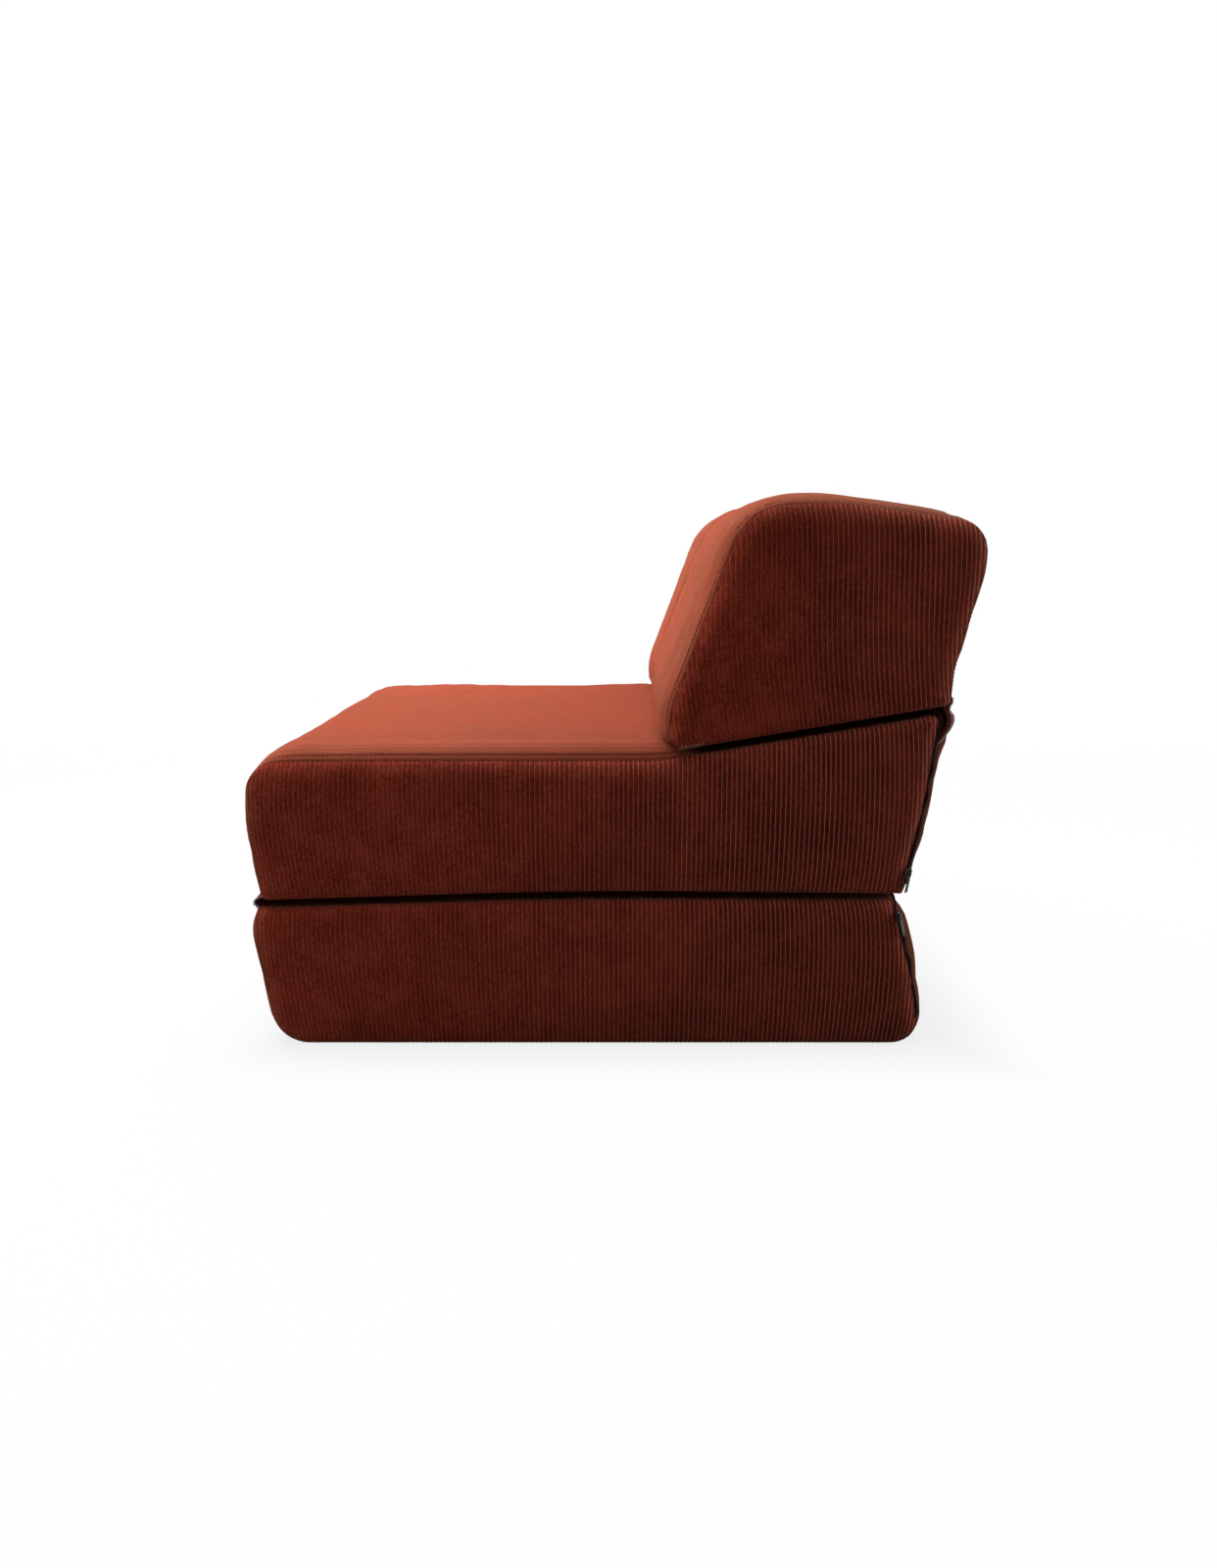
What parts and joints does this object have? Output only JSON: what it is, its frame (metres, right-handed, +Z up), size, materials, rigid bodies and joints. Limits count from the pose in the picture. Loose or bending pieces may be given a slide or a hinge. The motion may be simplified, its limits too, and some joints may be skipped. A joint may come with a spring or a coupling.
{
  "type": "convertible chair bed",
  "caption": "Folding foam chair bed in ribbed corduroy: base, seat and back blocks joined by cloth hinges that fold out flat into a single bed, each cover closed by a zip.",
  "frame": {"origin": "on the floor, under the middle of the whole chair", "axes": "+X across the width, -Y out of the chair's front edge, +Z up"},
  "size_m": [0.7, 0.9515, 0.7264],
  "materials": {
    "corduroy": "rust wide-ribbed corduroy with a soft pile",
    "foam": "open-cell upholstery foam, cream",
    "zip_tape": "black woven tape",
    "zip_coil": "black moulded coil",
    "zip_metal": "dull metal",
    "webbing": "folded strip of the cover cloth, sewn flat"
  },
  "bodies": {
    "base": {"base_wrap_panel": "corduroy", "base_left_side_panel": "corduroy", "base_right_side_panel": "corduroy", "base_zip_tape": "zip_tape", "base_zip_coil": "zip_coil", "base_zip_stops": "zip_metal", "base_rear_panel": "corduroy", "base_foam_core": "foam", "front_hinge_lower_band": "webbing"},
    "seat": {"seat_wrap_panel": "corduroy", "seat_left_side_panel": "corduroy", "seat_right_side_panel": "corduroy", "seat_zip_tape": "zip_tape", "seat_zip_coil": "zip_coil", "seat_zip_stops": "zip_metal", "seat_rear_panel": "corduroy", "seat_foam_slab": "foam", "seat_foam_wedge": "foam", "front_hinge_upper_band": "webbing", "rear_hinge_lower_band": "webbing"},
    "back": {"back_wrap_panel": "corduroy", "back_left_side_panel": "corduroy", "back_right_side_panel": "corduroy", "back_zip_tape": "zip_tape", "back_zip_coil": "zip_coil", "back_zip_stops": "zip_metal", "back_foam_core": "foam", "rear_hinge_upper_band": "webbing"},
    "base_zip_slider": {"base_zip_slider": "zip_metal"},
    "base_zip_pull": {"base_zip_pull": "zip_metal"},
    "seat_zip_slider": {"seat_zip_slider": "zip_metal"},
    "seat_zip_pull": {"seat_zip_pull": "zip_metal"},
    "back_zip_slider": {"back_zip_slider": "zip_metal"},
    "back_zip_pull": {"back_zip_pull": "zip_metal"}
  },
  "joints": [
    {"name": "seat_fold", "type": "hinge", "parent": "base", "child": "seat", "pos_m": [0, -0.474, 0.2032], "axis": [1, 0, 0], "range_deg": [0, 176]},
    {"name": "back_fold", "type": "hinge", "parent": "seat", "child": "back", "pos_m": [0, 0.444, 0.458], "axis": [-1, 0, 0], "range_deg": [0, 172]},
    {"name": "base_zip_run", "type": "slide", "parent": "base", "child": "base_zip_slider", "axis": [0, 0.2537, -0.9673], "range_m": [0, 0.132]},
    {"name": "base_pull_swing", "type": "hinge", "parent": "base_zip_slider", "child": "base_zip_pull", "pos_m": [0.34502, 0.38597, 0.18146], "axis": [0.7587, -0.6302, -0.1653], "range_deg": [0, 170]},
    {"name": "seat_zip_run", "type": "slide", "parent": "seat", "child": "seat_zip_slider", "axis": [0, 0.1544, 0.988], "range_m": [0, 0.172]},
    {"name": "seat_pull_swing", "type": "hinge", "parent": "seat_zip_slider", "child": "seat_zip_pull", "pos_m": [0.34502, 0.39556, 0.24173], "axis": [0.7587, -0.6437, 0.1006], "range_deg": [0, 170]},
    {"name": "back_zip_run", "type": "slide", "parent": "back", "child": "back_zip_slider", "axis": [-1, 0, 0], "range_m": [0, 0.576]},
    {"name": "back_pull_swing", "type": "hinge", "parent": "back_zip_slider", "child": "back_zip_pull", "pos_m": [0.288, 0.449, 0.478], "axis": [0, 0, -1], "range_deg": [0, 170]}
  ]
}
